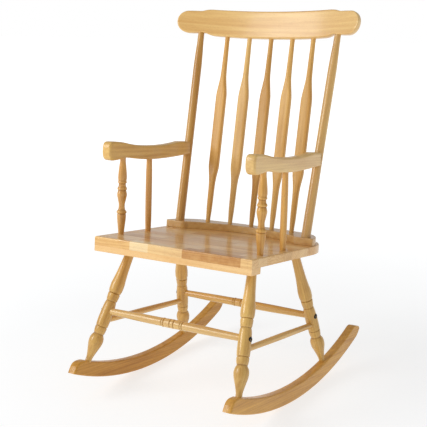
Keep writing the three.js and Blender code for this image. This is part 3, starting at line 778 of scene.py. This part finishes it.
# %% Back posts
POST_LINE = [(218.0, 367.0, 21.0), (233.0, 456.5, 597.0)]
for name, side, tone in (("left", -1, (-0.15, 0.25)), ("right", 1, (0.1, 0))):
    base, top = (Vector((side * x, y, z)) for x, y, z in POST_LINE)
    length = (top - base).length
    profile = [
        (-16, 13.4), (4, 13.5), (length * 0.4, 12.9), (length - 110, 12.6), (length - 60, 11.4),
        (length - 25, 9.9), (length - 4, 9.3), (length + 9, 9.1, 1), (length + 9.3, 7.4, 1),
        (length + 24, 7.4),
    ]
    stick(f"back_post_{name}", profile, base, top, "pale_wood", tone)

# %% [markdown]
# The five spindles are "arrows": round below, then widened into a flat blade with sloping
# shoulders, then thin and round again. They are all one shape that repeats along a bow, so
# Geometry Nodes set them out: a row of points is bent to the bow, and each point gets a copy of
# the blade that leans towards its own place in the crest rail.

# %% One spindle blade
SPINDLE_SECTIONS = [
    # height above the riser, half width, half thickness, squareness
    (-16, 6.4, 6.4, 2), (2, 6.5, 6.5, 2), (40, 8.3, 8.3, 2), (90, 9.2, 9.1, 2), (112, 9.5, 9.1, 2.2),
    (135, 10.8, 8.9, 3), (155, 13.6, 8.4, 4.5), (168, 15.8, 8.0, 5), (178, 16.4, 7.9, 5),
    (280, 16.5, 7.9, 5), (380, 16.4, 7.9, 5), (392, 16.0, 7.9, 5), (406, 14.5, 8.0, 4.5),
    (430, 11.2, 8.2, 3.2), (455, 8.8, 8.2, 2.2), (500, 7.8, 7.8, 2), (555, 7.0, 7.0, 2), (592, 6.9, 6.9, 2),
]


def blade_mesh(sides=56, spacing=3.2):
    """(points, faces) of one blade that stands along +Z."""
    table = np.array(SPINDLE_SECTIONS, float)
    heights = np.arange(table[0, 0], table[-1, 0] + 1, spacing)
    heights = np.append(heights[heights < table[-1, 0]], table[-1, 0])
    wide, thick, square = (smooth_heights(table[:, 0], table[:, i], heights) for i in (1, 2, 3))
    angles = (np.arange(sides) + 0.5) * 2 * math.pi / sides
    points = []
    for z, a, b, power in zip(heights, wide, thick, square):
        x = a * np.sign(np.cos(angles)) * np.abs(np.cos(angles)) ** (2 / power)
        y = b * np.sign(np.sin(angles)) * np.abs(np.sin(angles)) ** (2 / power)
        points.append(np.column_stack([x, y, np.full(sides, z)]))
    points.append(np.array([[0, 0, heights[0]], [0, 0, heights[-1]]]))
    return np.concatenate(points), sleeve_faces(len(heights), sides)


blade_points, blade_faces = blade_mesh()
blade_grain = {"grain": blade_points[:, [2, 0, 1]] / 1000}
blade_pattern = new_object("blade_pattern", blade_points, blade_faces, blade_grain, shown=False)
print("one blade:", len(blade_faces), "faces")

# %% [markdown]
# The tree below has named inputs for the spacing, the bow and the heights. The start points are a
# plain row numbered -2 to 2, each with its own tone, and the tree moves them onto the bow and
# aims the copies. Each copy also shifts its grain, so the five sticks differ.

# %% Setting out the spindles
class Tree(Wiring):
    """A Geometry Nodes tree that is being wired."""

    def __init__(self, name, inputs):
        super().__init__(bpy.data.node_groups.new(name, "GeometryNodeTree"))
        sockets = self.tree.interface
        sockets.new_socket("Geometry", in_out="INPUT", socket_type="NodeSocketGeometry")
        sockets.new_socket("Geometry", in_out="OUTPUT", socket_type="NodeSocketGeometry")
        for key, kind in inputs.items():
            sockets.new_socket(key, in_out="INPUT", socket_type=f"NodeSocket{kind}")
        self.given = self.tree.nodes.new("NodeGroupInput").outputs
        self.result = self.tree.nodes.new("NodeGroupOutput").inputs[0]

    def read(self, name):
        """The painted-on value of this name."""
        return self.add("GeometryNodeInputNamedAttribute", {"Name": name}, data_type="FLOAT_VECTOR")

    def store(self, geometry, name, value):
        """The same geometry with a value painted on."""
        inputs = {"Geometry": geometry, "Name": name, "Value": value}
        return self.add("GeometryNodeStoreNamedAttribute", inputs, data_type="FLOAT_VECTOR")

    def copies(self, points, shape):
        """One copy of the shape on each point, turned along the point's own aim."""
        turn = self.add("FunctionNodeAlignRotationToVector", {"Vector": self.read("aim")}, axis="Z")
        pattern = self.add("GeometryNodeObjectInfo", {"Object": shape}, output="Geometry")
        inputs = {"Points": points, "Instance": pattern, "Rotation": turn}
        return self.add("GeometryNodeInstanceOnPoints", inputs)

    def finish(self, geometry):
        """Gives the geometry its finish and makes it what the tree returns."""
        inputs = {"Geometry": geometry, "Material": self.given["Finish"]}
        self.tree.links.new(self.add("GeometryNodeSetMaterial", inputs), self.result)

    def run(self, start, values):
        """Runs the tree on an object and returns the result as a plain mesh object."""
        modifier = start.modifiers.new("setting out", "NODES")
        modifier.node_group = self.tree
        for socket in self.tree.interface.items_tree:
            if socket.in_out == "INPUT" and socket.name in values:
                modifier[socket.identifier] = values[socket.name]
        made = start.evaluated_get(bpy.context.evaluated_depsgraph_get())
        mesh = bpy.data.meshes.new_from_object(made)
        start.modifiers.remove(modifier)
        old, start.data = start.data, mesh
        bpy.data.meshes.remove(old)
        return start


CREST_BEND, CREST_BACK, CREST_BASE = 880.0, 487.0, 587.0
BOW = {
    "Spacing": 73.0, "Spread": 1.01, "Base bow": 700.0, "Top bow": CREST_BEND, "Base back": 430.0,
    "Base height": RISER_HEIGHT, "Top back": CREST_BACK, "Top height": CREST_BASE,
}
bow = Tree("spindle bow", {"Blade": "Object", **{key: "Float" for key in BOW}, "Finish": "Material"})
given = bow.given
step = bow.part(bow.add("GeometryNodeInputPosition"), "X")


def on_bow(x, radius, back, height):
    """The point of the bow at x: it curves forward by x squared over twice the radius."""
    sag = bow.maths("DIVIDE", bow.maths("MULTIPLY", x, x), bow.maths("MULTIPLY", radius, 2.0))
    return bow.add("ShaderNodeCombineXYZ", {0: x, 1: bow.maths("SUBTRACT", back, sag), 2: height})


base_x = bow.maths("MULTIPLY", step, given["Spacing"])
top_x = bow.maths("MULTIPLY", base_x, given["Spread"])
base = on_bow(base_x, given["Base bow"], given["Base back"], given["Base height"])
top = on_bow(top_x, given["Top bow"], given["Top back"], given["Top height"])
aimed = bow.store(given["Geometry"], "aim", bow.vectors("SUBTRACT", top, base))
placed = bow.add("GeometryNodeSetPosition", {"Geometry": aimed, "Position": base})
plain = bow.add("GeometryNodeRealizeInstances", {"Geometry": bow.copies(placed, given["Blade"])})
stored = bow.store(plain, "grain", bow.vectors("ADD", bow.read("grain"), bow.read("shift")))
bow.finish(stored)

spindle_tones = [(0.0, 0.35), (0.05, -0.25), (-0.3, 0.3), (0.0, 0.0), (-0.1, 0.1)]
start_row = new_object(
    "back_spindles",
    [(i, 0, 0) for i in range(-2, 3)],
    values={
        "tone": [(light, red, 0) for light, red in spindle_tones],
        "shift": [place_in_tree() for _ in spindle_tones],
    },
)
spindles = bow.run(start_row, {"Blade": blade_pattern, **BOW, "Finish": WOOD["spindle_wood"]})
spindles.data.transform(SEAT_FRAME)
finish_piece(spindles, "spindle_wood", *[f"back_spindle_{i}" for i in range(1, 6)], sharp_angle=60)

# %% [markdown]
# The crest rail is sawn to its outline and steam-bent, so that it curves round the sitter's
# shoulders. It is drawn flat, as `board`, and then every point is pushed back onto a circle.
# Its ends are full rounds, set off from the long body by small notches.

# %% Crest rail
CREST_THICKNESS, CREST_END = 21.0, 303.0
CREST_LEAN = math.atan(0.137)  # between the slopes of the spindles and the posts
LOBE, LOBE_X, LOBE_Z = 34.0, 273.0, 39.0  # the round end: its radius and its centre

crest_low = mirrored(outline(
    (0, -2), ("bend", (150, -1.5), (188, 0.5)), ("bend", (204, 1.5), (213, 6.5)),
    ("bend", (222, 9), (238, 7.5)), ("bend", (256, 5.2), (LOBE_X, LOBE_Z - LOBE)),
    ("arc", (LOBE_X, LOBE_Z), LOBE, -90, -3),
))
crest_high = mirrored(outline(
    (0, 80.2), ("bend", (110, 80.2), (196, 81)), ("bend", (212, 81.2), (224, 78)),
    ("bend", (234, 74), (246, 74.5)), ("bend", (258, 74.2), (LOBE_X, LOBE_Z + LOBE)),
    ("arc", (LOBE_X, LOBE_Z), LOBE, 90, 3),
))
points, faces, edge = board(crest_low, crest_high, CREST_THICKNESS, 4.5, 4.5, stations=170, columns=14)
values = wood_values(points, -0.8 * edge, (0, 0))
across, up, depth = points.T
back = np.sqrt((CREST_BEND + depth) ** 2 - across**2) - CREST_BEND
points = np.column_stack([
    across,
    CREST_BACK + back * math.cos(CREST_LEAN) + up * math.sin(CREST_LEAN),
    CREST_BASE - back * math.sin(CREST_LEAN) + up * math.cos(CREST_LEAN),
])
# Painted light and shade: the crest grows lighter towards its right end, which turns towards the lamp, and
# darker and redder towards its left end, which turns away from it.
values["tone"] = np.column_stack([across, -across, across * 0]) * [0.08, 0.2, 0] / CREST_END
finish_piece(add_mesh("crest", points, faces, values), "back_wood", "crest_rail")

# %% [markdown]
# ## The arms
# Each arm is a deep board on edge, hollowed along its top for the forearm and rounded where the
# hand rests. Its side view is the outline, and its width is the board's thickness.

# %% Arms
ARM_WIDTH, ARM_LENGTH, ARM_ROUND = 30.0, 393.0, 6.5
ARM_FRONT, ARM_TOP = (230.0, 2.0), 266.0
ARM_INWARD = 6.0  # how much nearer the middle an arm's rear end lies
arm_low = outline(
    (0.3, -24), ("bend", (-0.8, -36), (4, -45)), ("bend", (8, -52), (18, -53)),
    ("bend", (42, -52), (62, -48)), ("bend", (84, -44.5), (106, -48)),
    ("bend", (160, -53.5), (215, -53)), ("bend", (300, -51), (ARM_LENGTH, -40)),
)
arm_high = outline(
    (0.1, -20), ("bend", (0, -1), (14, 0)), ("bend", (50, 0.5), (78, -4)),
    ("bend", (120, -12), (190, -12.5)), ("bend", (268, -13.5), (340, -2)),
    ("bend", (372, -2), (ARM_LENGTH, -3)),
)
for name, side, tone in (("left", -1, (-0.05, 0.15)), ("right", 1, (0.12, -0.1))):
    to_front = Matrix.Translation((side * ARM_FRONT[0], ARM_FRONT[1], ARM_TOP))
    inward = Matrix.Rotation(side * math.atan2(ARM_INWARD, ARM_LENGTH), 4, "Z")
    board_on_edge(
        f"arm_{name}", arm_low, arm_high, ARM_WIDTH, ARM_ROUND, to_front @ inward, "arm_wood", tone,
        polish=0.7, stations=120, columns=8, steps=6,
    )

# %% [markdown]
# The front arm posts are the chair's finest turnings, with a vase, a ball and several rings. The
# rear ones are plain, because they are hardly seen.

# %% Arm posts
FRONT_POST = [
    (-15, 8.2), (2, 8.3), (25, 10.2), (48, 12.6), (57.5, 12.9, 1), (59.5, 11.4, 1), (61.5, 13.4, 1),
    (64.5, 14.5), (68.5, 12.6, 1), (71, 10.4), (76, 9.2), (84, 8.6), (104, 12.3), (115, 14.2),
    (125.5, 12, 1), (127.3, 11.3, 1), (128.8, 12.9, 1), (131.5, 14), (135.5, 12.4, 1), (138, 11),
    (146.5, 10, 1), (148, 12.2, 1), (150.5, 12.9), (154, 11.6, 1), (156, 11.9), (162, 12.8),
    (195, 10.2), (211, 8.4), (232, 8.3),
]
REAR_POST = [(-15, 8.2), (2, 8.3), (40, 9.2), (106, 9.5), (172, 9.2), (207, 8.4), (228, 8.3)]
ARM_POSTS = [
    ("front", FRONT_POST, (229.0, 85.0, 0.0), (228.5, 79.0, 217.0)),
    ("rear", REAR_POST, (227.0, 213.0, 0.0), (226.5, 203.0, 213.5)),
]
for end, profile, base, top in ARM_POSTS:
    for name, side, tone in (("left", -1, (0.05, 1.0)), ("right", 1, (0, 0.9))):
        base_point, top_point = (Vector((side * x, y, z)) for x, y, z in (base, top))
        stick(f"arm_post_{end}_{name}", profile, base_point, top_point, "leg_wood", tone)

# %% [markdown]
# ## The fastenings
# Bolts with round black heads hold the stretchers through the legs, and screws hold the arms and
# the riser. Each kind is one turned shape that repeats, so Geometry Nodes put a copy on each point
# and aim it along the point's own direction.

# %% Bolts and screws
fasteners = Tree("fasteners", {"Pattern": "Object", "Finish": "Material"})
given = fasteners.given
turned_copies = fasteners.copies(given["Geometry"], given["Pattern"])
plain = fasteners.add("GeometryNodeRealizeInstances", {"Geometry": turned_copies})
fasteners.finish(plain)

SIXTH = math.pi / 3  # one side of a hexagon, seen from its middle
SOCKET_DEPTH = 2.2
SOCKET_RIM = (0.35, 0.01)  # two narrow rings round the socket, which keep its edge crisp


def socket_head(name, profile, socket_radius, sides=48):
    """A turned fastener with a six-sided key hole in its head, at the start of its axis."""
    points, faces, _ = turned(profile, sides)
    pattern = new_object(name, points, faces, shown=False)
    shape = bmesh.new()
    shape.from_mesh(pattern.data)
    cap = [f for f in shape.faces if all(abs(v.co.z - profile[0][0]) < 1e-4 for v in f.verts)]
    hole = bmesh.ops.dissolve_faces(shape, faces=cap)["region"][0]
    for width in SOCKET_RIM:
        bmesh.ops.inset_individual(shape, faces=[hole], thickness=width)
    for vertex in hole.verts:
        angle = math.atan2(vertex.co.y, vertex.co.x)
        from_flat = (angle + SIXTH / 2) % SIXTH - SIXTH / 2
        reach = socket_radius / math.cos(from_flat)
        vertex.co.x, vertex.co.y = reach * math.cos(angle), reach * math.sin(angle)
    made = bmesh.ops.extrude_face_region(shape, geom=[hole])["geom"]
    bottom = [part for part in made if isinstance(part, bmesh.types.BMVert)]
    bmesh.ops.translate(shape, verts=bottom, vec=(0, 0, SOCKET_DEPTH))
    if hole.is_valid:
        bmesh.ops.delete(shape, geom=[hole], context="FACES")
    shape.to_mesh(pattern.data)
    shape.free()
    return pattern


# (distance along the axis from the head's face, radius), in millimetres
BOLT = [(0, 5.6, 1), (0.5, 6.9), (1.6, 7.9), (3.2, 8.4), (5, 8.5, 1), (5.01, 3, 1), (40, 3)]
SCREW = [(0, 4.6, 1), (0.4, 5.0), (3, 5.0, 1), (4.5, 2.4, 1), (29, 2.4), (33, 0.8)]
BOLT_KEY, SCREW_KEY = 2.6, 1.5
BOLT_X = 245.8
SCREW_HEIGHT, SCREW_BACK = 248.0, 13.2
RISER_SCREWS = [(-182, 392), (-36, 436), (36, 436), (182, 392)]
RISER_SCREW_HEIGHT = 5 - SEAT_THICKNESS

# Each row holds, for every copy, where the head's face is and which way the shank points.
bolt_rows = []
for _, side, end, _ in CORNERS:
    joint = at_height(leg_line(side, end), CROSS_HEIGHT)
    bolt_rows.append(((side * BOLT_X, joint.y, joint.z), (-side, 0, 0)))
screw = at_height([Vector(p) for p in POST_LINE], SCREW_HEIGHT)
arm_rows = [((side * screw.x, screw.y + SCREW_BACK, screw.z), (0, -1, 0)) for side in (-1, 1)]
riser_rows = [((x, y, RISER_SCREW_HEIGHT), (0, 0, 1)) for x, y in RISER_SCREWS]
bolt_nodes = [f"stretcher_bolt_{corner}" for corner, *_ in CORNERS]
arm_nodes = ["arm_screw_left", "arm_screw_right"]
riser_nodes = [f"riser_screw_{i}" for i in range(1, 5)]
FASTENINGS = [
    ("stretcher_bolts", BOLT, BOLT_KEY, bolt_rows, "black_steel", bolt_nodes),
    ("arm_screws", SCREW, SCREW_KEY, arm_rows, "black_steel", arm_nodes),
    ("riser_screws", SCREW, SCREW_KEY, riser_rows, "zinc_steel", riser_nodes),
]
for name, profile, key, rows, slot, nodes in FASTENINGS:
    pattern = socket_head(f"{name}_pattern", profile, key)
    start = new_object(name, [spot for spot, _ in rows], values={"aim": [aim for _, aim in rows]})
    made = fasteners.run(start, {"Pattern": pattern, "Finish": WOOD[slot]})
    made.data.transform(SEAT_FRAME)
    finish_piece(made, slot, *nodes, sharp_angle=35)

# %% [markdown]
# The barrel nuts lie in the stretchers, where the bolts end. They are plain round bars, and the
# measured shapes are already right, so they only get their finish.

# %% Barrel nuts
for corner, *_ in CORNERS:
    nut = frame["nodes"][f"barrel_nut_{corner}"]
    nut.data.materials.clear()
    nut.data.materials.append(WOOD["zinc_steel"])
print("nuts finished:", len(CORNERS))

# %% [markdown]
# ## The studio
# The chair stands in a plain white studio: a pale floor, even white light from all round and one
# large soft lamp high on the left, which gives each turned stick a bright side and a shaded one.

# %% Floor and light
FLOOR_REACH = 30
corners = [(x * FLOOR_REACH, y * FLOOR_REACH, 0) for x, y in ((-1, -1), (1, -1), (1, 1), (-1, 1))]
floor = new_object("studio_floor", corners, [(0, 1, 2, 3)])
# The floor glows a little, and more so further off, where it has to melt into the white behind.
ground = Finish("studio floor")
spot = ground.add("ShaderNodeTexCoord", output="Object")
mottle = ground.noise(spot, (3, 3, 3), 2.0)
ground.join(ground.mix(mottle, (0.37, 0.38, 0.39, 1), (0.39, 0.4, 0.41, 1)), "Base Color")
far = ground.add("ShaderNodeVectorMath", {0: spot}, output="Value", operation="LENGTH")
ground.join(ground.range(far, 0.8, 4.0, 0.69, 1.0), "Emission Strength")
ground.set(Roughness=0.85, Specular_IOR_Level=0.1, Emission_Color=(1, 1, 1, 1))
floor.data.materials.append(ground.material)

# The world is white near the horizon and dimmer overhead, like a long white wall.
world = bpy.data.worlds.new("studio")
world.use_nodes = True
sky = Wiring(world.node_tree)
height = sky.part(sky.add("ShaderNodeTexCoord", output="Generated"), "Z")
background = sky.tree.nodes["Background"]
background.inputs["Color"].default_value = (1, 1, 1, 1)
sky.tree.links.new(sky.range(height, 0.02, 0.08, 1.0, 0.47), background.inputs["Strength"])
bpy.context.scene.world = world

LAMP_PLACE, LAMP_AIM = Vector((-2.2, -2.7, 2.1)), Vector((0, 0, 0.5))
light = bpy.data.lights.new("key", "AREA")
light.shape, light.size, light.energy = "DISK", 1.9, 68
lamp = bpy.data.objects.new("key", light)
lamp.location = LAMP_PLACE
lamp.rotation_euler = (LAMP_AIM - LAMP_PLACE).to_track_quat("-Z", "Y").to_euler()
bpy.context.scene.collection.objects.link(lamp)
bpy.context.scene.view_settings.view_transform = "Standard"

# %% [markdown]
# The camera stands to the right of the chair's front, a little above the arms and well back,
# with a long lens, so that upright lines stay almost parallel.

# %% Camera
CAMERA_PLACE = SEAT_FRAME @ Vector((1459.715, -2124.738, 404.371))
CAMERA_AXES = ((0.843451, 0.537206, 0), (-0.108247, 0.169987, 0.979483), (0.526188, -0.826144, 0.201527))
FOCAL_LENGTH, SENSOR_WIDTH = 82.44, 36.0  # millimetres
lens = bpy.data.cameras.new("camera")
lens.lens, lens.sensor_width = FOCAL_LENGTH, SENSOR_WIDTH
camera = bpy.data.objects.new("camera", lens)
camera.matrix_world = Matrix.Translation(CAMERA_PLACE) @ Matrix(CAMERA_AXES).transposed().to_4x4()
bpy.context.scene.collection.objects.link(camera)
bpy.context.scene.camera = camera
